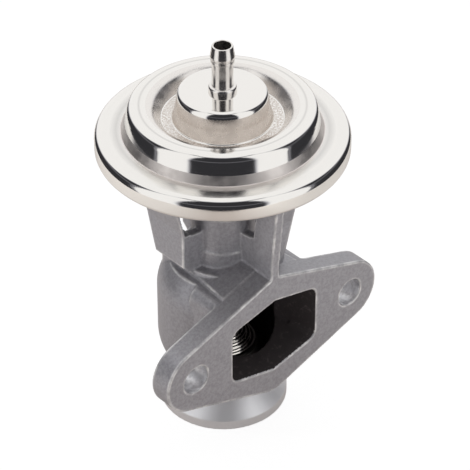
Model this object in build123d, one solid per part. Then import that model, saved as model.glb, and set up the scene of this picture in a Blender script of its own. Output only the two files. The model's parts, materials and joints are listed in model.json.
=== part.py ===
from build123d import *
import os
from math import hypot

# Millimetres. The stem axis is Z and the boss stands on Z = 0.

# Boss, neck and barrel of the casting
boss_radius = 19.0
boss_rim_height = 3.0
neck_radius = 13.4
neck_height = 9.4
barrel_radius = 19.4
barrel_shoulder_height = 22.3
barrel_corner_height = 45.3
barrel_top_radius = 15.5
barrel_top = 50.3

# Flange with its hexagonal port, both in planes of constant Y
flange_face = 22.4
flange_thickness = 7.0
port_height = 34.2
bolt_spacing = 60.0
bolt_hole_radius = 4.25
bolt_hole_chamfer = 0.4
lobe_radius = 10.4
flange_half_height = 20.6
flange_apex_radius = 10.0
port_half_width = 16.2
port_side_half_height = 8.9
port_half_height = 12.65
port_corner_rounding = 1.3
duct_half_width = 17.9
duct_end = 5.5
duct_inner_end = 7.0
duct_taper = 0.76
gable_slope = 0.338
duct_top = 50.3
duct_rounding = 3.6
gable_ridge = 55.6
roof_overlap = 0.4
roof_half_width = 12.8
roof_flare = 14.1
roof_flare_start = 3.0
roof_back = 12.5

# Open neck: column, cross of webs, four legs and the rib above the flange
column_radius = 9.2
column_ring_radius = 9.6
column_ring_height = 58.0
column_foot_radius = 12.9
column_foot_height = 52.6
web_thickness = 3.0
web_top = 65.5
web_dip = 1.0
leg_face = 16.4
leg_waist = 13.0
leg_waist_height = 51.0
leg_foot_rise = 3.8
leg_bend_rise = 1.2
leg_thickness = 3.0
leg_lean = 0.27
leg_bore_radius = 15.5
leg_bore_growth = 0.25
leg_length = 18.0
rear_leg_length = 7.5
cone_radius = 18.9
cone_growth = 0.174
front_leg_inset = 1.3
rib_step_height = 59.6
rib_lean = 1.9
top_plate_radius = 20.0
top_plate_thickness = 4.0
body_top = 81.0

# Passages in the casting
inlet_radius = 11.0
inlet_depth = 13.0
seat_outer_radius = 12.0
seat_pocket_depth = 4.0
seat_bore_radius = 8.0
seat_height = 6.0
chamber_floor_radius = 12.5
chamber_radius = 15.0
chamber_roof_radius = 11.0
chamber_wall_bottom = 24.0
chamber_wall_top = 41.0
chamber_roof = 45.5
bush_outer_radius = 6.0
bush_drop = 3.5
bush_set_back = 2.0
seal_outer_radius = 7.5
seal_depth = 9.0
seal_height = 4.0
retainer_thickness = 1.2

# Moving stem and what it carries
stem_radius = 3.5
stem_spigot_radius = 2.5
running_gap = 0.05
assembly_gap = 0.1
lift = 5.0
poppet_radius = 9.5
poppet_step_height = 1.4
poppet_step_radii = (8.0, 6.8, 5.6)
poppet_collar_radius = 4.5
poppet_collar_thickness = 1.6
rivet_height = 1.0
rivet_radius = 3.4
shield_radius = 10.3
shield_depth = 5.3
shield_thickness = 0.8
stem_washer_radius = 7.0
stem_nut_width = 8.0
stem_nut_height = 4.0
stem_thread_end = 1.2

# Can; widths are radial, shares are of its radius, rises are heights above the casting
sheet = 1.2
gasket_thickness = 1.0
cover_hole_radius = 9.0
can_radius = 36.0
can_bottom_rise = 7.4
lip_width = 3.4
clamp_width = 5.5
rim_gap = 0.4
bead_height = 3.3
bead_width = 6.5
ring_share = 0.786
ring_rounding = 4.35
crest_share = 0.547
crest_rise = 22.3
groove_rise = 18.8
groove_fillet = 3.0
plateau_share = 0.364
plateau_rise = 27.0
plateau_rounding = 2.0
wall_lean = 0.4
floor_margin = 14.5
vent_radius = 1.8

# Diaphragm stack
plate_gap = 0.4
plate_overhang = 0.5
cup_step = 2.0
diaphragm_thickness = 1.2
upper_plate_wall = 2.6
spring_wire_radius = 0.9
spring_turns = 5
spring_seat_margin = 2.0
spring_seat_thickness = 1.2
stop_inner_radius = 3.2
stop_outer_radius = 6.5
stop_gap = 0.1
stop_notch = 2.0

# Fasteners of the can
screw_circle_radius = 13.5
screw_count = 4
screw_radius = 2.0
screw_head_radius = 3.3
screw_head_height = 1.5
screw_socket_radius = 1.3
screw_socket_depth = 0.9
screw_hole_radius = 2.3
screw_reach = 3.6
screw_washer_radius = 4.2
screw_washer_thickness = 0.5

# Hose nipple
nipple_bore_radius = 2.4
nipple_radius = 3.0
nipple_foot_radius = 4.2
nipple_foot_thickness = 0.8
nipple_bead_radius = 4.0
nipple_bead_height = 1.7
barb_radius = 3.45
barb_rise = 10.5
barb_land = 0.7
nipple_tip_radius = 2.95
nipple_length = 14.35

# Sizes that follow from the ones above
flange_back = flange_face - flange_thickness
leg_foot_height = leg_waist_height + leg_foot_rise
leg_bend_height = web_top + leg_bend_rise
bush_bottom = chamber_roof - bush_drop
seal_floor = body_top - seal_depth
bush_top = seal_floor - bush_set_back
seat_bottom = inlet_depth
seat_top = seat_bottom + seat_height
poppet_top = seat_top + poppet_step_height * (1 + len(poppet_step_radii))
flange_inner_radius = can_radius - clamp_width
bead_inner_radius = can_radius - bead_width
ring_radius = can_radius * ring_share
crest_inner_radius = can_radius * crest_share
plateau_radius = can_radius * plateau_share
lower_cover_floor_radius = can_radius - floor_margin
vent_circle_radius = (lower_cover_floor_radius + flange_inner_radius) / 2
lower_plate_radius = lower_cover_floor_radius + plate_overhang
upper_plate_radius = lower_plate_radius - cup_step
spring_seat_radius = plateau_radius - spring_seat_margin
spring_mean_radius = spring_seat_radius - spring_wire_radius - assembly_gap
can_bottom = body_top + can_bottom_rise
crest_height = body_top + crest_rise
groove_height = body_top + groove_rise
plateau_height = body_top + plateau_rise
barb_bottom = plateau_height + barb_rise
nipple_top = plateau_height + nipple_length
cover_bottom = body_top + gasket_thickness
cover_floor = cover_bottom + sheet
lower_plate_bottom = cover_floor + screw_washer_thickness + screw_head_height + plate_gap
diaphragm_bottom = lower_plate_bottom + sheet
upper_plate_bottom = diaphragm_bottom + diaphragm_thickness
spring_bottom = upper_plate_bottom + sheet
nut_bottom = spring_bottom + sheet
nut_top = nut_bottom + stem_nut_height
stem_top = nut_top + stem_thread_end
flange_bottom = can_bottom + sheet
bead_bottom = flange_bottom + sheet
bead_top = bead_bottom + bead_height
annulus_height = bead_top + sheet
spring_top = plateau_height - sheet - spring_seat_thickness
stop_bottom = nut_top + lift + stop_gap


def turned(*corners):
    """Solid turned about Z; a corner is radius, height and, if it is rounded, its rounding."""
    points = [corner[:2] for corner in corners]
    rounding = [corner[2] if len(corner) > 2 else 0 for corner in corners]
    outline = FilletPolyline(*points, radius=rounding, close=True)
    return revolve(Plane.XZ * make_face(outline), Axis.Z)


def turned_sheet(thickness, *corners):
    """Turned sheet metal; corners are on one face and the metal lies to the right of their walk."""
    points = [Vector(*corner[:2]) for corner in corners]
    walks = [(b - a).normalized() for a, b in zip(points, points[1:])]
    walks = [walks[0]] + walks + [walks[-1]]
    far_side = []
    for corner, point, before, after in zip(corners, points, walks, walks[1:]):
        right = Vector(before.Y + after.Y, -before.X - after.X)
        shift = right * (thickness / (1 + before.dot(after)))
        turn = before.X * after.Y - before.Y * after.X
        rounding = corner[2] if len(corner) > 2 else 0
        if rounding:
            rounding = max(rounding + (thickness if turn > 0 else -thickness), 0)
        far_side.append((point.X + shift.X, point.Y + shift.Y, rounding))
    return turned(*corners, *reversed(far_side))


def upright(sketch, y):
    """Places a sketch drawn in X and Z on the plane at -y."""
    return Plane.XZ.offset(y) * sketch


def slab(sketch, front, back):
    """Solid between two values of Y, from a sketch drawn in X and Z."""
    return extrude(upright(sketch, -front), back - front, dir=(0, 1, 0))


def peg(radius, bottom, top):
    """Round bar on the axis."""
    return Pos(0, 0, (bottom + top) / 2) * Cylinder(radius, top - bottom)


def screw_places():
    """Centres of the cover screws."""
    return PolarLocations(screw_circle_radius, screw_count, start_angle=45)


def at_screws(radius, bottom, top):
    """Round bars at all cover screws."""
    return [place * peg(radius, bottom, top) for place in screw_places()]


def flange_outline():
    """Flange plate as a sketch round the port centre."""
    apex = flange_half_height - flange_apex_radius
    with BuildSketch() as outline:
        with Locations((-bolt_spacing / 2, 0), (bolt_spacing / 2, 0)):
            Circle(lobe_radius)
        with Locations((0, -apex), (0, apex)):
            Circle(flange_apex_radius)
        make_hull()
    return Pos(0, port_height) * outline.sketch


def port_outline(scale=1.0):
    """Hexagonal gas port as a sketch."""
    wide = port_half_width * scale
    side = port_side_half_height * scale
    high = port_half_height * scale
    corners = [(wide, side), (0, high), (-wide, side), (-wide, -side), (0, -high), (wide, -side)]
    outline = FilletPolyline(*corners, radius=port_corner_rounding * scale, close=True)
    return Pos(0, port_height) * make_face(outline)


def duct_block():
    """Duct behind the flange, flat with rounded edges on top and with the flange's slopes below."""
    foot = 2 * port_height - gable_ridge
    sill = foot + gable_slope * duct_half_width
    outline = FilletPolyline((-duct_half_width, sill), (0, foot), (duct_half_width, sill),
                             (duct_half_width, duct_top), (-duct_half_width, duct_top),
                             radius=[0, 0, 0, duct_rounding, duct_rounding], close=True)
    return slab(make_face(outline), -flange_back, -duct_end)


def roof_plan(top):
    """Block from the barrel's shoulder to a height, a little wider at the flange."""
    front = -flange_back - roof_overlap
    right = [(roof_half_width, roof_back), (roof_half_width, -roof_flare_start), (roof_flare, front)]
    left = [(-x, y) for x, y in reversed(right)]
    plan = Pos(0, 0, barrel_corner_height) * Polygon(*right, *left, align=None)
    return extrude(plan, top - barrel_corner_height, dir=(0, 0, 1))


def roof_pad():
    """Gabled block on the barrel that carries the open neck."""
    eave = gable_ridge - gable_slope * roof_flare
    gable = Polygon((-roof_flare, barrel_corner_height), (roof_flare, barrel_corner_height),
                    (roof_flare, eave), (0, gable_ridge), (-roof_flare, eave), align=None)
    return slab(gable, -flange_face, roof_back) & roof_plan(gable_ridge)


def leg_foot():
    """Corners of a foot that draws in to the waist."""
    inner = leg_face - leg_thickness
    return [(inner, leg_foot_height), (leg_waist - leg_thickness, leg_waist_height),
            (leg_waist, leg_waist_height), (leg_face, leg_foot_height)]


def straight_foot():
    """Corners of a foot that runs down into the flange."""
    return [(leg_face - leg_thickness, barrel_corner_height), (leg_face, barrel_corner_height)]


def leg(foot, length):
    """One leg on the -X side, from its web to the given Y."""
    top_face = leg_face + leg_lean * (body_top - leg_bend_height)
    corners = foot + [(leg_face, leg_bend_height), (top_face, body_top),
                      (leg_face - leg_thickness, body_top)]
    section = Polygon(*[(-x, z) for x, z in corners], align=None)
    return slab(section, -web_thickness / 2, length)


def legs():
    """Four legs, each standing to one side of its web; the two rear ones are short."""
    left = leg(leg_foot(), leg_length) & neck_cone()
    front = leg(straight_foot(), leg_length).rotate(Axis.Z, -90).mirror(Plane.XZ)
    short = leg(leg_foot(), rear_leg_length)
    return [left, front & neck_cone(front_leg_inset), short.rotate(Axis.Z, -90), short.mirror(Plane.YZ)]


def webs():
    """Cross of two thin webs through the column, lower at the column than at the legs."""
    right = [(leg_waist, leg_waist_height), (leg_face, leg_foot_height), (leg_face, web_top),
             (column_radius, web_top - web_dip)]
    left = [(-x, z) for x, z in reversed(right)]
    across = slab(Polygon(*right, *left, align=None), -web_thickness / 2, web_thickness / 2)
    return [across, across.rotate(Axis.Z, 90)]


def leg_bore():
    """Conical hollow that the legs surround above the webs."""
    top_radius = leg_bore_radius + leg_bore_growth * (body_top - web_top)
    return turned((0, web_top), (leg_bore_radius, web_top), (top_radius, body_top), (0, body_top))


def neck_cone(inset=0):
    """Cone that bounds the outer corners of the legs."""
    foot_radius = cone_radius - inset
    top_radius = foot_radius + cone_growth * (body_top - leg_waist_height)
    return turned((0, barrel_corner_height), (foot_radius, barrel_corner_height),
                  (foot_radius, leg_waist_height), (top_radius, body_top), (0, body_top))


def front_rib():
    """Rib above the flange that stands in front of the front leg."""
    points = [(-leg_waist, port_height + flange_half_height - web_thickness),
              (-flange_face, port_height + flange_half_height - web_thickness),
              (-flange_face, rib_step_height), (-flange_face - rib_lean, body_top),
              (-leg_face, body_top)]
    section = Plane.YZ.offset(-web_thickness / 2) * Polygon(*points, align=None)
    return extrude(section, web_thickness, dir=(1, 0, 0))


def casting_outside():
    """Casting without its passages."""
    body = turned((0, 0), (boss_radius, 0), (boss_radius, boss_rim_height),
                  (neck_radius, neck_height, 2.5), (barrel_radius, barrel_shoulder_height, 17),
                  (barrel_radius, barrel_corner_height, 13), (barrel_top_radius, barrel_top),
                  (0, barrel_top))
    body += duct_block()
    body += roof_pad()
    body += slab(flange_outline(), -flange_face, -flange_back)
    body += [piece - leg_bore() for piece in legs() + webs()]
    body += front_rib()
    body += peg(column_radius, barrel_corner_height, body_top)
    body += peg(column_ring_radius, barrel_corner_height, column_ring_height)
    body += peg(column_foot_radius, barrel_corner_height, column_foot_height) & roof_plan(body_top)
    body += peg(top_plate_radius, body_top - top_plate_thickness, body_top)
    return body


def gas_passage():
    """Inlet bore, seat pocket, chamber and the duct to the port."""
    pocket_top = inlet_depth + seat_pocket_depth
    passage = turned((0, -1), (inlet_radius, -1), (inlet_radius, inlet_depth),
                     (seat_outer_radius, inlet_depth), (seat_outer_radius, pocket_top),
                     (chamber_floor_radius, pocket_top), (chamber_radius, chamber_wall_bottom),
                     (chamber_radius, chamber_wall_top), (chamber_roof_radius, chamber_roof),
                     (0, chamber_roof))
    mouth = upright(port_outline(), flange_face)
    throat = upright(port_outline(duct_taper), duct_inner_end)
    return passage + loft([mouth, throat])


def bolt_hole_cutters():
    """Cutters for the two flange holes with their small chamfers."""
    cutters = []
    for x in (-bolt_spacing / 2, bolt_spacing / 2):
        bore = Pos(x, port_height) * Circle(bolt_hole_radius)
        wide = upright(Pos(x, port_height) * Circle(bolt_hole_radius + bolt_hole_chamfer), flange_face)
        narrow = upright(bore, flange_face - bolt_hole_chamfer)
        cutters.append(slab(bore, -flange_face, -flange_back))
        cutters.append(loft([wide, narrow]))
    return cutters


def body_casting():
    """Cast body with its bores."""
    body = casting_outside()
    body -= gas_passage()
    body -= bolt_hole_cutters()
    body -= peg(bush_outer_radius, chamber_roof, seal_floor)
    body -= peg(seal_outer_radius, seal_floor, body_top)
    body -= at_screws(screw_radius, body_top - top_plate_thickness, body_top)
    return body


def valve_seat_ring():
    """Seat pressed in its pocket, a little proud of the chamber floor."""
    shoulder = (seat_outer_radius + seat_bore_radius) / 2
    return turned((seat_bore_radius, seat_bottom), (seat_outer_radius, seat_bottom),
                  (seat_outer_radius, seat_top - 1.5), (shoulder, seat_top),
                  (seat_bore_radius, seat_top))


def poppet_head():
    """Disc that closes the seat, stepped up to the stem."""
    corners = [(stem_spigot_radius, seat_top), (poppet_radius, seat_top)]
    height = seat_top + poppet_step_height
    radius = poppet_radius
    for next_radius in poppet_step_radii:
        corners += [(radius, height), (next_radius, height)]
        radius = next_radius
        height += poppet_step_height
    corners += [(radius, height), (stem_spigot_radius, height)]
    return turned(*corners)


def poppet_collar():
    """Collar under the poppet, held by the riveted stem end."""
    bottom = seat_top - poppet_collar_thickness
    return turned((stem_spigot_radius, bottom), (poppet_collar_radius, bottom, 0.4),
                  (poppet_collar_radius, seat_top), (stem_spigot_radius, seat_top))


def valve_stem():
    """Stem with a riveted foot, a plain shank and a threaded end."""
    rivet_top = seat_top - poppet_collar_thickness
    return turned((0, rivet_top - rivet_height), (stem_spigot_radius, rivet_top - rivet_height),
                  (rivet_radius, rivet_top - rivet_height / 2), (rivet_radius, rivet_top),
                  (stem_spigot_radius, rivet_top), (stem_spigot_radius, poppet_top),
                  (stem_radius, poppet_top), (stem_radius, lower_plate_bottom),
                  (stem_spigot_radius, lower_plate_bottom), (stem_spigot_radius, stem_top),
                  (0, stem_top))


def guide_bush():
    """Bush pressed in the column."""
    inner = stem_radius + running_gap
    return turned((inner, bush_bottom), (bush_outer_radius, bush_bottom), (bush_outer_radius, bush_top),
                  (inner, bush_top))


def stem_shield():
    """Cup pressed on the lower end of the bush, open downwards."""
    top = bush_bottom + shield_thickness + 1
    return turned_sheet(shield_thickness, (bush_outer_radius, top), (shield_radius, top, 1.2),
                        (shield_radius, top - shield_depth))


def stem_seal():
    """Lip seal round the stem."""
    inner = stem_radius + running_gap
    top = seal_floor + seal_height
    return turned((inner, seal_floor), (seal_outer_radius, seal_floor), (seal_outer_radius, top),
                  (inner + 1, top), (inner + 1, top - 1.6), (inner, seal_floor + 0.8))


def seal_retainer():
    """Ring pressed in above the seal."""
    bottom = seal_floor + seal_height
    top = bottom + retainer_thickness
    inner = stem_radius + 1
    return turned((inner, bottom), (seal_outer_radius, bottom), (seal_outer_radius, top), (inner, top))


def cover_gasket():
    """Flat gasket between body and can."""
    ring = turned((cover_hole_radius, body_top), (top_plate_radius, body_top),
                  (top_plate_radius, cover_bottom), (cover_hole_radius, cover_bottom))
    return ring - at_screws(screw_hole_radius, body_top, cover_bottom)


def lower_cover():
    """Lower half of the can with vent holes in its cone."""
    outer_radius = can_radius - sheet - rim_gap
    shell = turned_sheet(-sheet, (cover_hole_radius, cover_bottom),
                         (lower_cover_floor_radius, cover_bottom, 1.5),
                         (flange_inner_radius, flange_bottom, 1.5), (outer_radius, flange_bottom))
    shell -= at_screws(screw_hole_radius, cover_bottom, cover_floor)
    vents = PolarLocations(vent_circle_radius, screw_count, start_angle=45)
    return shell - [place * peg(vent_radius, cover_bottom, bead_top) for place in vents]


def cover_screw_washers():
    """Washers under the heads of the cover screws."""
    top = cover_floor + screw_washer_thickness
    washer = turned((screw_radius + assembly_gap, cover_floor), (screw_washer_radius, cover_floor),
                    (screw_washer_radius, top), (screw_radius + assembly_gap, top))
    return Compound([place * washer for place in screw_places()])


def cover_screws():
    """Low-head socket screws that hold the can."""
    head_bottom = cover_floor + screw_washer_thickness
    head_top = head_bottom + screw_head_height
    end = body_top - screw_reach
    screw = turned((0, end), (screw_radius, end), (screw_radius, head_bottom),
                   (screw_head_radius, head_bottom), (screw_head_radius, head_top, 0.4),
                   (0, head_top))
    socket = RegularPolygon(screw_socket_radius, 6)
    screw -= extrude(Pos(0, 0, head_top) * socket, -screw_socket_depth)
    return Compound([place * screw for place in screw_places()])


def upper_cover():
    """Upper half of the can: plateau, groove, ring, annulus and crimped rim."""
    return turned_sheet(sheet, (nipple_radius, plateau_height),
                        (plateau_radius, plateau_height, plateau_rounding),
                        (plateau_radius + wall_lean, groove_height, groove_fillet),
                        (crest_inner_radius - wall_lean, groove_height, 1.3),
                        (crest_inner_radius, crest_height, 1.5),
                        (ring_radius, crest_height, ring_rounding),
                        (ring_radius, annulus_height, 0.4),
                        (can_radius, annulus_height, 2.4), (can_radius, can_bottom, 1.5),
                        (can_radius - lip_width, can_bottom))


def vacuum_nipple():
    """Hose nipple with a foot inside the cover, a bead outside and a barbed end."""
    foot_top = plateau_height - sheet
    foot_bottom = foot_top - nipple_foot_thickness
    bead_end = plateau_height + nipple_bead_height
    return turned((nipple_bore_radius, foot_bottom), (nipple_foot_radius, foot_bottom),
                  (nipple_foot_radius, foot_top), (nipple_radius, foot_top),
                  (nipple_radius, plateau_height), (nipple_bead_radius, plateau_height),
                  (nipple_bead_radius, bead_end, 0.8), (nipple_radius, bead_end),
                  (nipple_radius, barb_bottom), (barb_radius, barb_bottom),
                  (barb_radius, barb_bottom + barb_land),
                  (nipple_tip_radius, nipple_top, 0.25), (nipple_bore_radius, nipple_top))


def diaphragm():
    """Rubber diaphragm: flat centre, rising fold and clamped bead."""
    bead_radius = can_radius - sheet - rim_gap
    inner = stem_spigot_radius + assembly_gap
    fold = (lower_plate_radius + bead_inner_radius) / 2
    top = upper_plate_bottom
    return turned((inner, diaphragm_bottom), (lower_plate_radius + 0.3, diaphragm_bottom),
                  (fold, bead_bottom - 0.9), (bead_inner_radius, bead_bottom),
                  (bead_radius, bead_bottom), (bead_radius, bead_top - 1.3),
                  (bead_radius - 1, bead_top), (bead_inner_radius, bead_top),
                  (bead_inner_radius - 0.5, bead_bottom + diaphragm_thickness),
                  (fold - 0.5, bead_bottom + 0.4), (lower_plate_radius - 0.4, top), (inner, top))


def lower_diaphragm_plate():
    """Plate under the diaphragm."""
    inner = stem_spigot_radius + assembly_gap
    return turned((inner, lower_plate_bottom), (lower_plate_radius, lower_plate_bottom, 0.6),
                  (lower_plate_radius, diaphragm_bottom), (inner, diaphragm_bottom))


def upper_diaphragm_plate():
    """Spring cup above the diaphragm."""
    inner = stem_spigot_radius + assembly_gap
    rim = upper_plate_bottom + upper_plate_wall
    return turned_sheet(sheet, (upper_plate_radius, rim), (upper_plate_radius, upper_plate_bottom, 1.6),
                        (inner, upper_plate_bottom))


def stem_washer():
    """Washer between the spring cup and the nut."""
    inner = stem_spigot_radius + assembly_gap
    return turned((inner, spring_bottom), (stem_washer_radius, spring_bottom),
                  (stem_washer_radius, nut_bottom), (inner, nut_bottom))


def stem_nut():
    """Hexagon nut on the threaded end."""
    blank = RegularPolygon(stem_nut_width / 2, 6, major_radius=False) - Circle(stem_spigot_radius)
    return extrude(Pos(0, 0, nut_bottom) * blank, stem_nut_height)


def return_spring():
    """Coil spring between the cup and its seat."""
    height = spring_top - spring_bottom - 2 * spring_wire_radius
    path = Helix(height / spring_turns, height, spring_mean_radius)
    wire = Plane(origin=path @ 0, z_dir=path % 0) * Circle(spring_wire_radius)
    return Pos(0, 0, spring_bottom + spring_wire_radius) * sweep(wire, path, is_frenet=True)


def spring_seat():
    """Ring that seats the spring under the plateau."""
    inner = nipple_foot_radius + 0.4
    top = spring_top + spring_seat_thickness
    return turned((inner, spring_top), (spring_seat_radius, spring_top),
                  (spring_seat_radius, spring_top + 0.4), (spring_seat_radius - 1, top), (inner, top))


def travel_stop():
    """Rubber stop above the nut, notched so that the vacuum reaches the diaphragm."""
    stop = turned((stop_inner_radius, stop_bottom), (stop_outer_radius, stop_bottom, 0.6),
                  (stop_outer_radius, spring_top), (stop_inner_radius, spring_top))
    notch = Pos(0, 0, spring_top - stop_notch / 2) * Box(3 * stop_outer_radius, stop_notch, stop_notch)
    return stop - notch - notch.rotate(Axis.Z, 90)


def check_stack():
    """The pieces must fit each other whatever the sizes above."""
    assert hypot(leg_face, web_thickness / 2) < cone_radius + cone_growth * leg_foot_height
    assert spring_mean_radius + spring_wire_radius < spring_seat_radius
    assert spring_turns * 2 * spring_wire_radius < spring_top - spring_bottom - lift


pieces = [body_casting, valve_seat_ring, poppet_head, poppet_collar, valve_stem, guide_bush,
          stem_shield, stem_seal, seal_retainer, cover_gasket, lower_cover, cover_screw_washers,
          cover_screws, upper_cover, vacuum_nipple, diaphragm, lower_diaphragm_plate,
          upper_diaphragm_plate, stem_washer, stem_nut, return_spring, spring_seat, travel_stop]

check_stack()
os.makedirs("parts", exist_ok=True)
for piece in pieces:
    export_step(piece(), f"parts/{piece.__name__}.step")
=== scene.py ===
import json
import math

import bmesh
import bpy
import numpy as np
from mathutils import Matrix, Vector


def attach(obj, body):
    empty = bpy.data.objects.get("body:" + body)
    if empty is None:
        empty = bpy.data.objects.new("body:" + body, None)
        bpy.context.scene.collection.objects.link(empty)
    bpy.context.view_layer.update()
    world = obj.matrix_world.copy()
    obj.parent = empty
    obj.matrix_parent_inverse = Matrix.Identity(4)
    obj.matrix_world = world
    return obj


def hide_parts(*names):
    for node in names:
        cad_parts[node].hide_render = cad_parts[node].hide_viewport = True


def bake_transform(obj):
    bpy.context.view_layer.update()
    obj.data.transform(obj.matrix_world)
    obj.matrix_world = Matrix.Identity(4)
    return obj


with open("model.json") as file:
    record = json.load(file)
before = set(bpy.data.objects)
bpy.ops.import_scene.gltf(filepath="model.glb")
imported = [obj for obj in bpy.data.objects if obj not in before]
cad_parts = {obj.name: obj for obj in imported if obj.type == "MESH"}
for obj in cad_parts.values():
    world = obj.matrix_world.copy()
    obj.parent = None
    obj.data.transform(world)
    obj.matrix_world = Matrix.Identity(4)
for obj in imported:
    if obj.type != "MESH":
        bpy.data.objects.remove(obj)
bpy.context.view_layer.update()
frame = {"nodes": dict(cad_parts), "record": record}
MM = 0.001

# Camera fitted to the photograph; millimetres and degrees
CAMERA_AZIMUTH = -41.7
CAMERA_ELEVATION = 36.83
CAMERA_DISTANCE = 692.0
CAMERA_AIM = (2.56, -2.28, 57.8)
FOCAL_LENGTH = 183.83
SENSOR = 36.0

# Turned sheet of the can; millimetres, and degrees for the angle above which an edge is sharp
SHEET = 1.2
ROUND_STEPS = 8
TURN_STEPS = 256
SHARP_ANGLE = 35
PLATEAU_HEIGHT = 108.0
PLATEAU_RADIUS = 12.6
PLATEAU_ROUNDING = 2.0
NECK_HEIGHT = 102.5
NECK_SWELL = 0.6
NECK_ROUNDING = 6.0
GROOVE_HEIGHT = 98.9
GROOVE_INNER_RADIUS = 14.2
GROOVE_OUTER_RADIUS = 17.2
GROOVE_ROUNDING = 0.5
SLOPE_RADIUS = 20.4
SLOPE_ROUNDING = 4.0
CREST_HEIGHT = 103.3
CREST_RADIUS = 26.41
CREST_ROUNDING = 2.6
SHOULDER_RADIUS = 27.3
SHOULDER_HEIGHT = 98.0
SHOULDER_ROUNDING = 0.3
WALL_RADIUS = 28.4
WALL_ROUNDING = 0.4
ANNULUS_HEIGHT = 95.3
CAN_RADIUS = 35.99
CAN_ROUNDING = 2.4
CAN_BOTTOM = 88.4
BOTTOM_ROUNDING = 1.5
LIP_RADIUS = 32.6

# Where the finishes of the can change; millimetres from the named places above
INNER_EDGE = 0.22
OUTER_EDGE = 0.18
NECK_MARGIN = 0.3
NECK_DROP = 2.4
WALL_MARGIN = 0.3
SLOPE_MARGIN = 1.0
RIM_MARGIN = 3.0

# Hose nipple; millimetres
NIPPLE_STEPS = 96
NIPPLE_BORE = 2.4
NIPPLE_RADIUS = 3.0
NIPPLE_TOP = 122.35
NIPPLE_TIP_RADIUS = 2.95
FOOT_RADIUS = 4.2
FOOT_BOTTOM = 106.0
FOOT_TOP = 106.8
BEAD_RADIUS = 4.0
BEAD_TOP = 109.7
BEAD_ROUNDING = 0.8
RING_RADIUS = 3.3
RING_BOTTOM = 117.1
RING_TOP = 118.0
WAIST_RADIUS = 3.1
BARB_RADIUS = 3.45
BARB_BOTTOM = 118.5
BARB_TOP = 119.2

# Casting; millimetres, a share for the tilt and for how the port narrows
CAST_VOXEL = 0.3
CAST_SMOOTHING = 1
FLANGE_FACE = -22.4
FACE_SNAP = 0.3
FACE_TOP = 56.0
FACE_TILT = -0.75
PORT_HEIGHT = 34.2
PORT_HALF_WIDTH = 16.2
PORT_SIDE_HALF_HEIGHT = 8.9
PORT_HALF_HEIGHT = 12.65
PORT_ROUNDING = 3.0
PORT_OVERLAP = 0.6
PORT_MARGIN = 0.3
PORT_ENDS = ((FLANGE_FACE, 1.0), (-14.0, 0.869))
PASSAGE_BOTTOM = 12.8
PASSAGE_TOP = 46.0
PASSAGE_INSET = 0.25
BORE_REACH = (12.9, 15.4)
BORE_SLOPE_START = 17.0
BORE_SLOPE = 0.36
BOLT_OFFSET = 30.0
BOLT_HOLE_RADIUS = 4.25
BOLT_MARGIN = 0.15
BOLT_INSET = 0.5
CONE_TOP = 9.6
BOSS_INNER_RADIUS = 12.0
BOSS_OUTLINE = ((11.0, 0), (19.0, 0), (19.0, 3.0), (13.4, 9.4))
MACHINED_SNAP = 0.35

# Painted highlights along the casting's edges: sharpest bend and the bends between which they appear, per
# millimetre
HIGHLIGHT_BEND_LIMIT = 1.5
HIGHLIGHT_BEND_RANGE = (0.13, 0.42)
HIGHLIGHT_PATCHES = (0.22, 0.75)
HIGHLIGHT_SPREAD = 2

# Colours
CAST_COLOUR = (0.36, 0.352, 0.375)
CAST_DARK = tuple(part * 0.86 for part in CAST_COLOUR)
CAST_LIGHT = tuple(part * 1.14 for part in CAST_COLOUR)
# Painted highlight: the colour that the casting's sharp edges turn towards
EDGE_HIGHLIGHT_COLOUR = (0.85, 0.84, 0.83)
MACHINED_COLOUR = (0.86, 0.86, 0.88)
STAINED_COLOUR = (0.5, 0.49, 0.51)
# Painted shade: near-black colours of the gas passage walls
PASSAGE_SHADE = (0.03, 0.028, 0.03)
PASSAGE_SHADE_DARK = (0.04, 0.034, 0.035)
PASSAGE_SHADE_LIGHT = (0.13, 0.112, 0.11)
PLATING = (0.86, 0.84, 0.81)
SATIN = (0.7, 0.64, 0.59)
SLOPE = (0.82, 0.79, 0.76)
BRUSHED = (0.8, 0.75, 0.72)
SPECK_DARK = (0.6, 0.54, 0.49)
SPECK_LIGHT = (0.97, 0.96, 0.94)
# Painted shade and reflection: dark colour of the soft rings on the can
PAINTED_RING_SHADE = (0.1, 0.1, 0.11)
POPPET_COLOUR = (0.75, 0.73, 0.7)
# Painted shade and painted glint of the poppet's turned rings
PAINTED_GROOVE_SHADE = (0.03, 0.028, 0.028)
PAINTED_RING_GLINT = (0.95, 0.93, 0.9)

# Noises: waves per millimetre, detail and, where it is not a half, roughness
CAST_GRAIN = (1.1, 5, 0.75)
PATCH_GRAIN = (0.35, 3)
HOLE_CLOUD = (0.3, 3)
HOLE_STAIN = (0.3, 4, 0.6)
HOLE_GRAIN = (1.5, 4, 0.6)
PASSAGE_SHADE_SPOTS = (0.6, 5, 0.7)
PASSAGE_GRAIN = (1.4, 4, 0.6)
SPECKS = (1.9, 4, 0.75)
PLAIN_GRAIN = (1.5, 4)

# Grain of the plating: detail and roughness; the turned rings have their own waves per millimetre
RING_GRAIN = (3, 0.6)
RINGS_SCALE = 2.5

# Part of a noise's range over which a finish changes from one colour to the other
MOST = (0.3, 0.7)
CAST_TONES = (0.4, 0.6)
PATCH_TONES = (0.4, 0.62)
STAIN_TONES = (0.38, 0.56)
SPOT_TONES = (0.55, 0.75)
SPECK_TONES = (0.44, 0.6)

# The casting's metallic share and share of grain, as cast first and turned second
CAST_METALLIC = (0.62, 0.8)
CAST_GRAIN_SHARE = (1.0, 0.2)

# Heights between which the turned finish ends; millimetres
TURNED_EDGE = (CONE_TOP - 0.4, CONE_TOP - 0.2)

# Least and most roughness
CAST_ROUGHNESS = (0.34, 0.54)
HOLE_ROUGHNESS = (0.36, 0.5)

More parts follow.
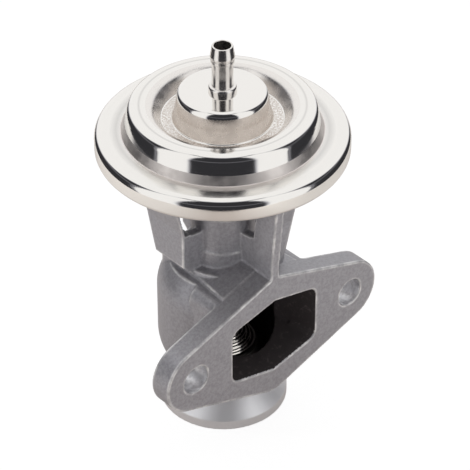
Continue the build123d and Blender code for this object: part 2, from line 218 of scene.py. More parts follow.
# Depths of grain; millimetres
CAST_DEPTH = 0.06
HOLE_DEPTH = 0.03
PASSAGE_GRAIN_DEPTH = 0.08
PLAIN_DEPTH = 0.01

# Soft dark rings painted into the plating, a painted reflection line on the crest and painted shade at the
# foot of the wall: radius, half width and share of the light that each takes
CREST_PAINTED_REFLECTION = (23.3, 0.5, 0.22)
ANNULUS_PAINTED_SHADE = (29.8, 1.9, 0.24)

# Rings painted on the poppet as the shade and glints of its turned grooves: millimetres, and the part of a
# sine wave from dark to light
BAND_PITCH = 1.2
BAND_START = 7.7
BAND_TONES = (-0.1, 0.5)

# Colour, metallic share and roughness of the CAD pieces' materials
PLAIN_FINISHES = {
    "machined_steel": ("turned_steel", (0.62, 0.6, 0.57), 1.0, 0.25),
    "seat_iron": ("seat_iron", (0.2, 0.19, 0.18), 1.0, 0.45),
    "bronze": ("bronze", (0.5, 0.33, 0.16), 1.0, 0.4),
    "zinc_steel": ("zinc_plate", (0.62, 0.62, 0.6), 1.0, 0.35),
    "spring_steel": ("spring_wire", (0.25, 0.25, 0.26), 1.0, 0.35),
    "black_rubber": ("black_rubber", (0.02, 0.02, 0.02), 0.0, 0.6),
    "gasket_sheet": ("gasket_fibre", (0.08, 0.07, 0.065), 0.0, 0.8),
}

# Lamps: name, azimuth, elevation, size in millimetres, power
LAMP_DISTANCE = 500
LAMPS = (("front_lamp", -20, 5, 80, 1.2), ("left_lamp", -135, 3, 80, 1.1))

# Surroundings; each pair is where a dark field starts and where it is full, in degrees
GAP_TURN = (40, 34)
GAP_RISE = (82, 66)
FLANK_TURN = (75, 82)
FLANK_RISE = (136, 122)
FLANK_SLOPE = 0.9
FRAME_SIDE = (76, 77)
FRAME_RISE = (75, 73)
FRAME_TOP = (68, 70)
FRAME_END = (80, 79)
FRAME_SHADE = 0.9
STRIPE_BOTTOM = (12, 16)
STRIPE_TOP = (24, 20)
WORLD_LIGHT = 1.0
WORLD_DARK = 0.035
WORLD_STRIPE = 0.1
WORLD_TINT = (0.95, 0.95, 1.08)

# Floor; millimetres, then colours and how brightly the camera sees it
FLOOR_FRONT = 185
FLOOR_SIDE = 190
FLOOR_BACK = 700
FLOOR_DROP = 0.2
FLOOR_FADE = (20, 120)
FLOOR_MIDDLE = (0.6, 0.54, 0.5)
FLOOR_COLOUR = (0.9, 0.86, 0.82)
FLOOR_SEEN = (0.14, 0.14, 0.14)
FLOOR_GLOW = 0.9


def outward(azimuth, elevation):
    """Direction away from the part; azimuth 0 is in front of the flange."""
    azimuth = math.radians(azimuth)
    elevation = math.radians(elevation)
    return Vector((math.sin(azimuth) * math.cos(elevation),
                   -math.cos(azimuth) * math.cos(elevation), math.sin(elevation)))


def place_camera():
    """Camera at the photograph's angle."""
    back = outward(CAMERA_AZIMUTH, CAMERA_ELEVATION)
    camera = bpy.data.objects.new("camera", bpy.data.cameras.new("camera"))
    camera.data.sensor_width = SENSOR
    camera.data.lens = FOCAL_LENGTH
    camera.data.clip_start = 0.01
    camera.location = (Vector(CAMERA_AIM) + back * CAMERA_DISTANCE) * MM
    camera.rotation_mode = "QUATERNION"
    camera.rotation_quaternion = (-back).to_track_quat("-Z", "Y")
    bpy.context.collection.objects.link(camera)
    bpy.context.scene.camera = camera


# Geometry helpers

def rounded(corners):
    """Points of an outline; a corner is radius, height and, if it is rounded, its rounding."""
    points = []
    for i, corner in enumerate(corners):
        here = Vector(corner[:2])
        rounding = corner[2] if len(corner) > 2 else 0
        if rounding <= 0 or i in (0, len(corners) - 1):
            points.append(here)
            continue
        back = (Vector(corners[i - 1][:2]) - here).normalized()
        ahead = (Vector(corners[i + 1][:2]) - here).normalized()
        half = back.angle(ahead) / 2
        centre = here + (back + ahead).normalized() * (rounding / math.sin(half))
        start = here + back * (rounding / math.tan(half)) - centre
        end = here + ahead * (rounding / math.tan(half)) - centre
        sweep = start.angle_signed(end)
        for step in range(ROUND_STEPS + 1):
            turn = -sweep * step / ROUND_STEPS
            points.append(centre + Vector((start.x * math.cos(turn) - start.y * math.sin(turn),
                                           start.x * math.sin(turn) + start.y * math.cos(turn))))
    return points


def offset_sheet(corners, thickness):
    """Corners of the far side of a sheet whose metal lies to the right of the walk."""
    points = [Vector(corner[:2]) for corner in corners]
    walks = [(b - a).normalized() for a, b in zip(points, points[1:])]
    walks = [walks[0]] + walks + [walks[-1]]
    far_side = []
    for corner, point, before, after in zip(corners, points, walks, walks[1:]):
        right = Vector((before.y + after.y, -before.x - after.x))
        shift = right * (thickness / (1 + before.dot(after)))
        turn = before.x * after.y - before.y * after.x
        rounding = corner[2] if len(corner) > 2 else 0
        if rounding:
            rounding = max(rounding + (thickness if turn > 0 else -thickness), 0)
        far_side.append((point.x + shift.x, point.y + shift.y, rounding))
    return far_side


def turned_mesh(name, points, steps=TURN_STEPS):
    """Closed outline of radius and height turned about Z into a smooth mesh."""
    mesh = bpy.data.meshes.new(name)
    rings = len(points)
    vertices = []
    for step in range(steps):
        turn = 2 * math.pi * step / steps
        vertices += [(p.x * math.cos(turn) * MM, p.x * math.sin(turn) * MM, p.y * MM) for p in points]
    faces = []
    for step in range(steps):
        here = step * rings
        there = (step + 1) % steps * rings
        for ring in range(rings):
            ahead = (ring + 1) % rings
            faces.append((here + ring, here + ahead, there + ahead, there + ring))
    mesh.from_pydata(vertices, [], faces)
    item = bpy.data.objects.new(name, mesh)
    bpy.context.collection.objects.link(item)
    clean_normals(item)
    smooth_by_angle(item, SHARP_ANGLE)
    return item


def clean_normals(item):
    """Joins doubled points and makes all faces look outwards."""
    work = bmesh.new()
    work.from_mesh(item.data)
    bmesh.ops.remove_doubles(work, verts=work.verts, dist=1e-7)
    bmesh.ops.recalc_face_normals(work, faces=work.faces)
    work.to_mesh(item.data)
    work.free()


def smooth_by_angle(item, degrees):
    """Smooth shading that keeps edges sharper than the angle."""
    limit = math.radians(degrees)
    work = bmesh.new()
    work.from_mesh(item.data)
    for face in work.faces:
        face.smooth = True
    for edge in work.edges:
        edge.smooth = len(edge.link_faces) != 2 or edge.calc_face_angle(0) < limit
    work.to_mesh(item.data)
    work.free()


# Node helpers; the owner of a node is a material or the world

def new_material(name, colour, metallic, roughness):
    """Principled material."""
    material = bpy.data.materials.new(name)
    material.use_nodes = True
    shader = material.node_tree.nodes["Principled BSDF"]
    shader.inputs["Base Color"].default_value = (*colour, 1)
    shader.inputs["Metallic"].default_value = metallic
    shader.inputs["Roughness"].default_value = roughness
    return material


def add_node(owner, kind, **settings):
    """Adds a node and sets its named inputs or properties."""
    node = owner.node_tree.nodes.new(kind)
    for key, value in settings.items():
        if key in node.inputs:
            node.inputs[key].default_value = value
        else:
            setattr(node, key, value)
    return node


def link(owner, start, end):
    """Joins an output socket to an input socket."""
    owner.node_tree.links.new(start, end)


def calculate(owner, operation, *values):
    """Math node; a value is a number or a socket."""
    node = add_node(owner, "ShaderNodeMath", operation=operation)
    for socket, value in zip(node.inputs, values):
        if isinstance(value, (int, float)):
            socket.default_value = value
        else:
            link(owner, value, socket)
    return node.outputs[0]


def shader_of(material):
    """Principled shader of a material."""
    return material.node_tree.nodes["Principled BSDF"]


def noise(material, scale, detail=3.0, roughness=0.5):
    """Noise in object space; scale is in waves per millimetre."""
    place = add_node(material, "ShaderNodeTexCoord")
    mapping = add_node(material, "ShaderNodeMapping")
    mapping.inputs["Scale"].default_value = [scale / MM] * 3
    grain = add_node(material, "ShaderNodeTexNoise", Scale=1.0, Detail=detail, Roughness=roughness)
    link(material, place.outputs["Object"], mapping.inputs["Vector"])
    link(material, mapping.outputs["Vector"], grain.inputs["Vector"])
    return grain.outputs["Fac"]


def remap(material, value, low, high, start=0.0, end=1.0):
    """Maps a value between start and end onto the range from low to high."""
    node = add_node(material, "ShaderNodeMapRange")
    node.inputs["From Min"].default_value = start
    node.inputs["From Max"].default_value = end
    node.inputs["To Min"].default_value = low
    node.inputs["To Max"].default_value = high
    link(material, value, node.inputs["Value"])
    return node.outputs["Result"]


def colour_mix(material, value, first, second):
    """Colour between two by a value."""
    ramp = add_node(material, "ShaderNodeMix")
    ramp.data_type = "RGBA"
    ramp.inputs[6].default_value = (*first, 1)
    ramp.inputs[7].default_value = (*second, 1)
    link(material, value, ramp.inputs[0])
    return ramp.outputs[2]


def bump(material, heights, distance, strength):
    """Bump of the given depth in millimetres."""
    node = add_node(material, "ShaderNodeBump", Strength=strength, Distance=distance * MM)
    link(material, heights, node.inputs["Height"])
    link(material, node.outputs["Normal"], shader_of(material).inputs["Normal"])


# Materials

def axis_distance(material):
    """Distance from the stem axis, and height, in millimetres."""
    place = add_node(material, "ShaderNodeTexCoord")
    split = add_node(material, "ShaderNodeSeparateXYZ")
    link(material, place.outputs["Object"], split.inputs[0])
    squares = [calculate(material, "POWER", split.outputs[i], 2.0) for i in (0, 1)]
    reach = calculate(material, "SQRT", calculate(material, "ADD", *squares))
    return calculate(material, "DIVIDE", reach, MM), calculate(material, "DIVIDE", split.outputs[2], MM)


def cast_material():
    """Fine-grained cast aluminium, turned bright on the boss, with highlights painted along its sharply
    bent edges.
    """
    material = new_material("cast_aluminium", CAST_COLOUR, 0.62, 0.45)
    shader = shader_of(material)
    grain = noise(material, *CAST_GRAIN)
    tone = colour_mix(material, remap(material, grain, 0, 1, *CAST_TONES), CAST_DARK, CAST_LIGHT)
    # Painted highlight: where the surface bends sharply, the colour is lightened in patches towards the
    # edge colour
    edges = add_node(material, "ShaderNodeAttribute", attribute_name="edge_highlight").outputs["Fac"]
    patches = remap(material, noise(material, *PATCH_GRAIN), *HIGHLIGHT_PATCHES, *PATCH_TONES)
    edge_highlight = calculate(material, "MULTIPLY", remap(material, edges, 0, 1, *HIGHLIGHT_BEND_RANGE), patches)
    highlighted_edges = colour_mix(material, edge_highlight, CAST_DARK, EDGE_HIGHLIGHT_COLOUR)
    link(material, tone, highlighted_edges.node.inputs[6])
    turned = remap(material, axis_distance(material)[1], 1, 0, *TURNED_EDGE)
    finish = colour_mix(material, turned, CAST_DARK, MACHINED_COLOUR)
    link(material, highlighted_edges, finish.node.inputs[6])
    link(material, finish, shader.inputs["Base Color"])
    link(material, remap(material, turned, *CAST_METALLIC), shader.inputs["Metallic"])
    link(material, remap(material, grain, *CAST_ROUGHNESS, *MOST), shader.inputs["Roughness"])
    rough = calculate(material, "MULTIPLY", grain, remap(material, turned, *CAST_GRAIN_SHARE))
    bump(material, rough, CAST_DEPTH, 0.8)
    return material


def machined_material():
    """Bright drilled aluminium."""
    material = new_material("machined_aluminium", MACHINED_COLOUR, 0.8, 0.42)
    cloud = noise(material, *HOLE_CLOUD)
    link(material, remap(material, cloud, *HOLE_ROUGHNESS, *MOST),
         shader_of(material).inputs["Roughness"])
    stain = remap(material, noise(material, *HOLE_STAIN), 0, 1, *STAIN_TONES)
    link(material, colour_mix(material, stain, STAINED_COLOUR, MACHINED_COLOUR),
         shader_of(material).inputs["Base Color"])
    bump(material, noise(material, *HOLE_GRAIN), HOLE_DEPTH, 0.5)
    return material


def passage_shade_material():
    """Walls of the gas passage painted nearly black as painted shade, with a mottle."""
    material = new_material("passage_painted_shade", PASSAGE_SHADE, 0.3, 0.55)
    spots = remap(material, noise(material, *PASSAGE_SHADE_SPOTS), 0, 1, *SPOT_TONES)
    link(material, colour_mix(material, spots, PASSAGE_SHADE_DARK, PASSAGE_SHADE_LIGHT),
         shader_of(material).inputs["Base Color"])
    bump(material, noise(material, *PASSAGE_GRAIN), PASSAGE_GRAIN_DEPTH, 0.8)
    return material


def ring_line(material, reach, radius, width):
    """Soft line round the axis: 1 on the radius, 0 away from it."""
    away = calculate(material, "ABSOLUTE", calculate(material, "SUBTRACT", reach, radius))
    return remap(material, away, 1, 0, 0, width)


def turned_rings(material, reach, height):
    """Fine rings round the axis, as a lathe or a polishing wheel leaves."""
    place = add_node(material, "ShaderNodeCombineXYZ")
    link(material, calculate(material, "MULTIPLY", reach, RINGS_SCALE), place.inputs[0])
    link(material, calculate(material, "MULTIPLY", height, RINGS_SCALE), place.inputs[1])
    detail, roughness = RING_GRAIN
    grain = add_node(material, "ShaderNodeTexNoise", Scale=1.0, Detail=detail, Roughness=roughness)
    link(material, place.outputs[0], grain.inputs["Vector"])
    return grain.outputs["Fac"]


def plated_material(name, roughness, speckle, depth=0.004, rings=0.0, line=None, colour=PLATING):
    """Plating; speckle is its noise, depth and rings are how deep its grain and turned rings are."""
    material = new_material(name, colour, 1.0, roughness)
    cloud = noise(material, *PATCH_GRAIN)
    link(material, remap(material, cloud, roughness * 0.8, roughness * 1.25, *MOST),
         shader_of(material).inputs["Roughness"])
    reach, height = axis_distance(material)
    # Painted shade and reflection: a soft dark ring darkens the plating towards the line colour
    if line:
        radius, width, share = line
        ring = calculate(material, "MULTIPLY", ring_line(material, reach, radius, width), share)
        light = calculate(material, "SUBTRACT", 1.0, ring)
        link(material, colour_mix(material, light, PAINTED_RING_SHADE, PLATING),
             shader_of(material).inputs["Base Color"])
    grain = noise(material, speckle, *RING_GRAIN)
    if not rings:
        bump(material, grain, depth, 0.5)
        return material
    turned = calculate(material, "MULTIPLY", turned_rings(material, reach, height), rings)
    grain = calculate(material, "ADD", calculate(material, "MULTIPLY", grain, depth), turned)
    bump(material, grain, 1.0, 0.5)
    return material


def speckled_material():
    """Plating over a coarse pressed ring, with bright specks."""
    material = plated_material("speckled_plating", 0.3, 1.6, 0.05)
    specks = remap(material, noise(material, *SPECKS), 0, 1, *SPECK_TONES)
    link(material, colour_mix(material, specks, SPECK_DARK, SPECK_LIGHT),
         shader_of(material).inputs["Base Color"])
    return material


def plain_material(name, colour, metallic, roughness):
    """Metal or rubber with fine grain."""
    material = new_material(name, colour, metallic, roughness)
    texture = noise(material, *PLAIN_GRAIN)
    link(material, remap(material, texture, roughness * 0.85, roughness * 1.2, *MOST),
         shader_of(material).inputs["Roughness"])
    bump(material, texture, PLAIN_DEPTH, 0.6)
    return material


def painted_ring_steel():
    """Polished steel with dark and bright rings painted on as the shade and glints of turned grooves."""
    material = new_material("polished_steel_painted_rings", POPPET_COLOUR, 1.0, 0.14)
    reach = calculate(material, "SUBTRACT", axis_distance(material)[0], BAND_START)
    turn = calculate(material, "MULTIPLY", reach, 2 * math.pi / BAND_PITCH)
    band = remap(material, calculate(material, "SINE", turn), 0, 1, *BAND_TONES)
    link(material, colour_mix(material, band, PAINTED_GROOVE_SHADE, PAINTED_RING_GLINT),
         shader_of(material).inputs["Base Color"])
    return material


# Pieces

def can_finishes():
    """Materials of the can by name."""
    return {"bright": plated_material("bright_plating", 0.09, 3.0, line=CREST_PAINTED_REFLECTION),
            "satin": plated_material("satin_plating", 0.28, 3.0, 0.0002, colour=SATIN),
            "speckled": speckled_material(),
            "brushed": plated_material("brushed_plating", 0.42, 2.0, rings=0.06, colour=BRUSHED),
            "sloping": plated_material("sloping_plating", 0.24, 1.0, 0.01, colour=SLOPE),
            "annulus": plated_material("annulus_plating", 0.17, 2.0, rings=0.012, line=ANNULUS_PAINTED_SHADE)}


def can_finish(place):
    """Name of the material at a place on the can."""
    radius = math.hypot(place.x, place.y)
    if (abs(radius - GROOVE_INNER_RADIUS) < INNER_EDGE
            or abs(radius - GROOVE_OUTER_RADIUS) < OUTER_EDGE):
        return "bright"
    if (PLATEAU_RADIUS - NECK_MARGIN < radius < GROOVE_INNER_RADIUS
            and place.z < PLATEAU_HEIGHT - NECK_DROP):
        return "satin"
    if GROOVE_INNER_RADIUS <= radius < GROOVE_OUTER_RADIUS:
        return "speckled"
    if SHOULDER_RADIUS < radius < WALL_RADIUS + WALL_MARGIN and place.z < SHOULDER_HEIGHT:
        return "brushed"
    if GROOVE_OUTER_RADIUS <= radius < SLOPE_RADIUS + SLOPE_MARGIN:
        return "sloping"
    if WALL_RADIUS <= radius < CAN_RADIUS - RIM_MARGIN and place.z > CAN_BOTTOM + RIM_MARGIN:
        return "annulus"
    return "bright"


def upper_cover():
    """Bright upper half of the can."""
    outer = [(NIPPLE_RADIUS, PLATEAU_HEIGHT),
             (PLATEAU_RADIUS, PLATEAU_HEIGHT, PLATEAU_ROUNDING),
             (PLATEAU_RADIUS + NECK_SWELL, NECK_HEIGHT, NECK_ROUNDING),
             (GROOVE_INNER_RADIUS, GROOVE_HEIGHT, GROOVE_ROUNDING),
             (GROOVE_OUTER_RADIUS, GROOVE_HEIGHT, GROOVE_ROUNDING),
             (SLOPE_RADIUS, CREST_HEIGHT, SLOPE_ROUNDING),
             (CREST_RADIUS, CREST_HEIGHT, CREST_ROUNDING),
             (SHOULDER_RADIUS, SHOULDER_HEIGHT, SHOULDER_ROUNDING),
             (WALL_RADIUS, ANNULUS_HEIGHT, WALL_ROUNDING),
             (CAN_RADIUS, ANNULUS_HEIGHT, CAN_ROUNDING),
             (CAN_RADIUS, CAN_BOTTOM, BOTTOM_ROUNDING), (LIP_RADIUS, CAN_BOTTOM)]
    inner = list(reversed(offset_sheet(outer, SHEET)))
    cover = turned_mesh("can_top", rounded(outer) + rounded(inner))
    finishes = can_finishes()
    names = list(finishes)
    for finish in finishes.values():
        cover.data.materials.append(finish)
    for face in cover.data.polygons:
        face.material_index = names.index(can_finish(face.center / MM))
    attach(cover, "housing")
    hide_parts("upper_cover")


def nipple():
    """Hose nipple with foot, bead, ring and barb."""
    outer = [(NIPPLE_BORE, FOOT_BOTTOM), (FOOT_RADIUS, FOOT_BOTTOM), (FOOT_RADIUS, FOOT_TOP),
             (NIPPLE_RADIUS, FOOT_TOP), (NIPPLE_RADIUS, PLATEAU_HEIGHT), (BEAD_RADIUS, PLATEAU_HEIGHT),
             (BEAD_RADIUS, BEAD_TOP, BEAD_ROUNDING), (NIPPLE_RADIUS, BEAD_TOP, 0.15),
             (NIPPLE_RADIUS, RING_BOTTOM), (RING_RADIUS, RING_BOTTOM, 0.1), (RING_RADIUS, RING_TOP, 0.1),
             (WAIST_RADIUS, RING_TOP), (WAIST_RADIUS, BARB_BOTTOM), (BARB_RADIUS, BARB_BOTTOM, 0.15),
             (BARB_RADIUS, BARB_TOP, 0.6), (NIPPLE_TIP_RADIUS, NIPPLE_TOP, 0.25),
             (NIPPLE_BORE, NIPPLE_TOP, 0.15), (NIPPLE_BORE, FOOT_BOTTOM)]
    piece = turned_mesh("hose_nipple", rounded(outer)[:-1], NIPPLE_STEPS)
    piece.data.materials.append(plated_material("bright_nipple", 0.2, 3.0, colour=SLOPE))
    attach(piece, "housing")
    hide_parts("vacuum_nipple")


def in_passage(place):
    """Whether a point of the casting lies on the wall of the gas passage."""
    if place.y < FLANGE_FACE + PASSAGE_INSET or not PASSAGE_BOTTOM < place.z < PASSAGE_TOP:
        return False
    up = abs(place.z - PORT_HEIGHT)
    side = abs(place.x)
    slope = (PORT_HALF_HEIGHT - PORT_SIDE_HALF_HEIGHT) / PORT_HALF_WIDTH
    under_roof = up < PORT_HALF_HEIGHT + PORT_MARGIN - slope * side
    in_duct = place.y < 0 and side < PORT_HALF_WIDTH + PORT_MARGIN and under_roof
    narrow, wide = BORE_REACH
    wall = min(max(narrow + (place.z - BORE_SLOPE_START) * BORE_SLOPE, narrow), wide)
    return in_duct or math.hypot(place.x, place.y) < wall


def nearest_on(outline, point):
    """Nearest point of an open outline of radius and height."""
    best = None
    for start, end in zip(outline, outline[1:]):
        start = Vector(start)
        side = Vector(end) - start
        share = min(max((point - start).dot(side) / side.length_squared, 0), 1)
        there = start + side * share
        if best is None or (there - point).length < (best - point).length:
            best = there
    return best


def machined_place(place):
    """Where a point near a turned or drilled surface of the casting belongs."""
    reach = math.hypot(place.x, place.y)
    if place.z < CONE_TOP and reach > BOSS_INNER_RADIUS:
        near = nearest_on(BOSS_OUTLINE, Vector((reach, place.z)))
        if (near - Vector((reach, place.z))).length < MACHINED_SNAP:
            return Vector((place.x * near.x / reach, place.y * near.x / reach, near.y))
    middle = Vector((math.copysign(BOLT_OFFSET, place.x), place.y, PORT_HEIGHT))
    spoke = place - middle
    if abs(spoke.length - BOLT_HOLE_RADIUS) < MACHINED_SNAP and place.y > FLANGE_FACE + BOLT_INSET:
        return middle + spoke * (BOLT_HOLE_RADIUS / spoke.length)
    return place


def is_drilled(place):
    """Whether a point of the casting lies on the wall of a bolt hole."""
    aside = abs(place.x) - BOLT_OFFSET
    return math.hypot(aside, place.z - PORT_HEIGHT) < BOLT_HOLE_RADIUS + BOLT_MARGIN


def shared_over(first, second, values, shared):
    """Mean over the edges at each point of what the far ends hold."""
    count = len(shared)
    return (np.bincount(first, values[second], count) + np.bincount(second, values[first], count)) / shared


def store_edge_highlight(mesh):
    """Stores how sharply the surface bulges at each point, in turns of the normal per millimetre, for the
    painted edge highlights.
    """
    count = len(mesh.vertices)
    places = np.empty(count * 3)
    mesh.vertices.foreach_get("co", places)
    places = places.reshape(-1, 3)
    normals = np.empty(count * 3)
    mesh.vertices.foreach_get("normal", normals)
    normals = normals.reshape(-1, 3)
    pairs = np.empty(len(mesh.edges) * 2, dtype=int)
    mesh.edges.foreach_get("vertices", pairs)
    first, second = pairs.reshape(-1, 2).T
    step = (places[second] - places[first]) / MM
    turn = normals[second] - normals[first]
    bend = (turn * step).sum(1) / np.maximum((step ** 2).sum(1), 1e-4)
    bend = np.clip(bend, 0, HIGHLIGHT_BEND_LIMIT)
    shared = np.maximum(np.bincount(pairs, minlength=count), 1)
    edge_highlight = (np.bincount(first, bend, count) + np.bincount(second, bend, count)) / shared
    for _ in range(HIGHLIGHT_SPREAD):
        edge_highlight = shared_over(first, second, edge_highlight, shared)
    mesh.attributes.new("edge_highlight", "FLOAT", "POINT").data.foreach_set("value", edge_highlight.astype(np.float32))


def corner_ring(side, rise):
    """Outline of the metal that rounds one corner of the gas port, from inside the wall."""
    corner = Vector((side * PORT_HALF_WIDTH, rise * PORT_SIDE_HALF_HEIGHT))
    walls = [(Vector((corner.x, 0)) - corner).normalized(),
             (Vector((0, rise * PORT_HALF_HEIGHT)) - corner).normalized()]
    middle = (walls[0] + walls[1]).normalized()
    half = walls[0].angle(middle)
    centre = corner + middle * (PORT_ROUNDING / math.sin(half))
    touch = [corner + wall * (PORT_ROUNDING / math.tan(half)) for wall in walls]
    sunk = [point - (middle - wall * middle.dot(wall)).normalized() * PORT_OVERLAP
            for point, wall in zip(touch, walls)]
    spokes = [touch[0].lerp(touch[1], step / ROUND_STEPS) - centre for step in range(ROUND_STEPS + 1)]
    arc = [centre + spoke.normalized() * PORT_ROUNDING for spoke in spokes]
    return [corner - middle * (PORT_OVERLAP / math.sin(half)), sunk[0], *arc, sunk[1]]


def round_port(mesh):
    """Adds the metal that rounds the corners of the gas port."""
    work = bmesh.new()
    work.from_mesh(mesh)
    added = []
    for side, rise in ((1, 1), (1, -1), (-1, 1), (-1, -1)):
        ring = corner_ring(side, rise)
        ends = [[work.verts.new(Vector((point.x * scale, depth, PORT_HEIGHT + point.y * scale)) * MM)
                 for point in ring] for depth, scale in PORT_ENDS]
        for end in ends:
            added += [work.faces.new((end[0], *pair)) for pair in zip(end[1:], end[2:])]
        for i in range(len(ring)):
            added.append(work.faces.new((ends[0][i], ends[0][i - 1], ends[1][i - 1], ends[1][i])))
    bmesh.ops.recalc_face_normals(work, faces=added)
    work.to_mesh(mesh)
    work.free()


def remeshed_casting():
    """Copy of the solid casting with rounded port corners and softened edges."""
    item = bpy.data.objects.new("cast_body", frame["nodes"]["body_casting"].data.copy())
    bpy.context.collection.objects.link(item)
    item.data.materials.clear()
    round_port(item.data)
    remesh = item.modifiers.new("voxels", "REMESH")
    remesh.mode = "VOXEL"
    remesh.voxel_size = CAST_VOXEL * MM
    smoothing = item.modifiers.new("smooth", "SMOOTH")
    smoothing.factor = 0.5
    smoothing.iterations = CAST_SMOOTHING
    graph = bpy.context.evaluated_depsgraph_get()
    mesh = bpy.data.meshes.new_from_object(item.evaluated_get(graph))
    item.modifiers.clear()
    item.data = mesh
    return item


def true_machining(mesh):
    """Moves points onto the machined surfaces and marks the passage and the bolt holes."""
    work = bmesh.new()
    work.from_mesh(mesh)
    for vertex in work.verts:
        place = vertex.co / MM
        on_face = abs(place.y - FLANGE_FACE) < FACE_SNAP and place.z < FACE_TOP
        if on_face and vertex.normal.y < FACE_TILT:
            vertex.co.y = FLANGE_FACE * MM
        vertex.co = machined_place(vertex.co / MM) * MM
    for face in work.faces:
        face.smooth = True
        place = face.calc_center_median() / MM
        # The passage walls get the painted shade material
        face.material_index = 1 if in_passage(place) else 2 if is_drilled(place) else 0
    work.to_mesh(mesh)
    work.free()


def casting():
    """Body casting with the soft edges of a die casting and flat machined faces."""
    item = remeshed_casting()
    true_machining(item.data)
    # Bends that set where the edge highlights are painted
    store_edge_highlight(item.data)
    for material in (cast_material(), passage_shade_material(), machined_material()):
        item.data.materials.append(material)
    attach(item, "housing")
    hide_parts("body_casting")


def soft_piece(name, node):
    """Rigid copy, in place of its CAD node, of a piece that bends or squeezes between the valve and the
    housing.
    """
    item = bpy.data.objects.new(name, frame["nodes"][node].data.copy())
    bpy.context.collection.objects.link(item)
    item.matrix_world = frame["nodes"][node].matrix_world.copy()
    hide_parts(node)
    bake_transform(item)
    return item


def return_spring():
    """Rigid copy of the coil spring that is squeezed when the valve lifts."""
    soft_piece("spring_coil", "return_spring")


def diaphragm():
    """Rigid copy of the rubber diaphragm whose fold rolls when the valve lifts."""
    soft_piece("rubber_diaphragm", "diaphragm")


def dress_nodes():
    """Materials for the CAD pieces that stay."""
    finishes = {slot: plain_material(*values) for slot, values in PLAIN_FINISHES.items()}
    finishes["plated_steel"] = plated_material("bright_lower_shell", 0.16, 3.0)
    finishes["cast_body"] = finishes["seat_iron"]
    polished = painted_ring_steel()
    slots = {entry["node"]: entry["material_slot"] for entry in frame["record"]["subparts"]}
    for name, node in frame["nodes"].items():
        node.data.materials.clear()
        node.data.materials.append(polished if name == "poppet_head" else finishes[slots[name]])


# Studio

def soft_lamp(name, azimuth, elevation, size, power):
    """Soft lamp for the dull casting; bright metal doesn't mirror it."""
    back = outward(azimuth, elevation)
    lamp = bpy.data.lights.new(name, "AREA")
    lamp.size = size * MM
    lamp.energy = power
    item = bpy.data.objects.new(name, lamp)
    item.location = (Vector(CAMERA_AIM) + back * LAMP_DISTANCE) * MM
    item.rotation_mode = "QUATERNION"
    item.rotation_quaternion = (-back).to_track_quat("-Z", "Y")
    item.visible_glossy = False
    bpy.context.collection.objects.link(item)


def studio_floor():
    """Plain white sheet that ends a little in front of the part; the camera sees it as white."""
    azimuth = math.radians(CAMERA_AZIMUTH)
    aside = Vector((math.cos(azimuth), math.sin(azimuth), 0))
    front = Vector((math.sin(azimuth), -math.cos(azimuth), 0))
    corners = [aside * x + front * y for x, y in
               ((-FLOOR_SIDE, FLOOR_FRONT), (FLOOR_SIDE, FLOOR_FRONT),
                (FLOOR_SIDE, -FLOOR_BACK), (-FLOOR_SIDE, -FLOOR_BACK))]
    plate = bpy.data.meshes.new("floor")
    plate.from_pydata([corner * MM for corner in corners], [], [(0, 1, 2, 3)])
    floor = bpy.data.objects.new("floor", plate)
    bpy.context.collection.objects.link(floor)
    material = new_material("floor_white", FLOOR_COLOUR, 0.0, 0.9)
    ray = add_node(material, "ShaderNodeLightPath")
    emission = remap(material, ray.outputs["Is Camera Ray"], 0, FLOOR_GLOW)
    shader = shader_of(material)
    shader.inputs["Emission Color"].default_value = (1, 1, 1, 1)
    link(material, emission, shader.inputs["Emission Strength"])
    place = add_node(material, "ShaderNodeTexCoord")
    across = add_node(material, "ShaderNodeVectorMath", operation="DOT_PRODUCT")
    across.inputs[1].default_value = aside
    link(material, place.outputs["Object"], across.inputs[0])
    across = calculate(material, "ABSOLUTE", across.outputs["Value"])
    fade = remap(material, across, 0, 1, FLOOR_FADE[0] * MM, FLOOR_FADE[1] * MM)
    tone = colour_mix(material, ray.outputs["Is Camera Ray"], FLOOR_COLOUR, FLOOR_SEEN)
    link(material, colour_mix(material, fade, FLOOR_MIDDLE, FLOOR_COLOUR), tone.node.inputs[6])
    link(material, tone, shader.inputs["Base Color"])
    plate.materials.append(material)
    floor.location.z = -FLOOR_DROP * MM


def smooth_step(world, value, start, full):
    """Smooth step from 0 at start to 1 at full."""
    rising = start < full
    node = add_node(world, "ShaderNodeMapRange", interpolation_type="SMOOTHSTEP")
    node.inputs["From Min"].default_value = min(start, full)
    node.inputs["From Max"].default_value = max(start, full)
    node.inputs["To Min"].default_value = 0 if rising else 1
    node.inputs["To Max"].default_value = 1 if rising else 0
    link(world, value, node.inputs["Value"])
    return node.outputs["Result"]


def along(world, direction):
    """Share of the looking direction that lies along a vector."""
    source = add_node(world, "ShaderNodeTexCoord")
    node = add_node(world, "ShaderNodeVectorMath", operation="DOT_PRODUCT")
    node.inputs[1].default_value = direction
    link(world, source.outputs["Generated"], node.inputs[0])
    return node.outputs["Value"]


def field(world, *steps):
    """Product of smooth steps; a step is a value, its start and its full end."""
    product = smooth_step(world, steps[0][0], *steps[0][1])
    for value, ends in steps[1:]:
        product = calculate(world, "MULTIPLY", product, smooth_step(world, value, *ends))
    return product


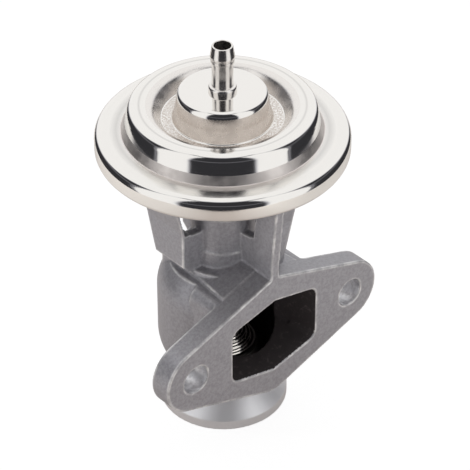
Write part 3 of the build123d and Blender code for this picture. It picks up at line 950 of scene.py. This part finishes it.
def darkness(world, turn, rise):
    """Where the surroundings are dark: a gap at the camera, two flanks and a thin frame."""
    gap = field(world, (turn, GAP_TURN), (rise, GAP_RISE))
    slant = calculate(world, "ADD", rise, calculate(world, "MULTIPLY", turn, FLANK_SLOPE))
    flank = field(world, (turn, FLANK_TURN), (slant, FLANK_RISE))
    side = field(world, (turn, FRAME_SIDE), (rise, FRAME_RISE))
    top = field(world, (rise, FRAME_TOP), (rise, FRAME_RISE))
    edge = calculate(world, "MULTIPLY", calculate(world, "MAXIMUM", side, top),
                     smooth_step(world, turn, *FRAME_END))
    edge = calculate(world, "MULTIPLY", edge, FRAME_SHADE)
    return calculate(world, "MAXIMUM", calculate(world, "MAXIMUM", gap, flank), edge)


def studio_world():
    """White surroundings with dark fields for the bright metal to mirror; the camera sees white."""
    world = bpy.data.worlds.new("studio")
    bpy.context.scene.world = world
    world.use_nodes = True
    azimuth = math.radians(CAMERA_AZIMUTH)
    height = along(world, (0, 0, 1))
    forward = along(world, (math.sin(azimuth), -math.cos(azimuth), 0))
    aside = along(world, (math.cos(azimuth), math.sin(azimuth), 0))
    turn = calculate(world, "ABSOLUTE", calculate(world, "ARCTAN2", aside, forward))
    turn = calculate(world, "DEGREES", turn)
    rise = calculate(world, "DEGREES", calculate(world, "ARCSINE", height))
    stripe = field(world, (rise, STRIPE_BOTTOM), (rise, STRIPE_TOP))
    least = calculate(world, "ADD", WORLD_DARK, calculate(world, "MULTIPLY", stripe, WORLD_STRIPE))
    shade = calculate(world, "MULTIPLY", darkness(world, turn, rise),
                      calculate(world, "SUBTRACT", WORLD_LIGHT, least))
    light = calculate(world, "SUBTRACT", WORLD_LIGHT, shade)
    ray = add_node(world, "ShaderNodeLightPath")
    seen = calculate(world, "MAXIMUM", light, ray.outputs["Is Camera Ray"])
    background = world.node_tree.nodes["Background"]
    link(world, colour_mix(world, seen, WORLD_TINT, (1, 1, 1)), background.inputs["Color"])
    link(world, seen, background.inputs["Strength"])


place_camera()
dress_nodes()
return_spring()
diaphragm()
upper_cover()
nipple()
casting()
studio_floor()
studio_world()
for settings in LAMPS:
    soft_lamp(*settings)
bpy.context.scene.view_settings.view_transform = "Standard"
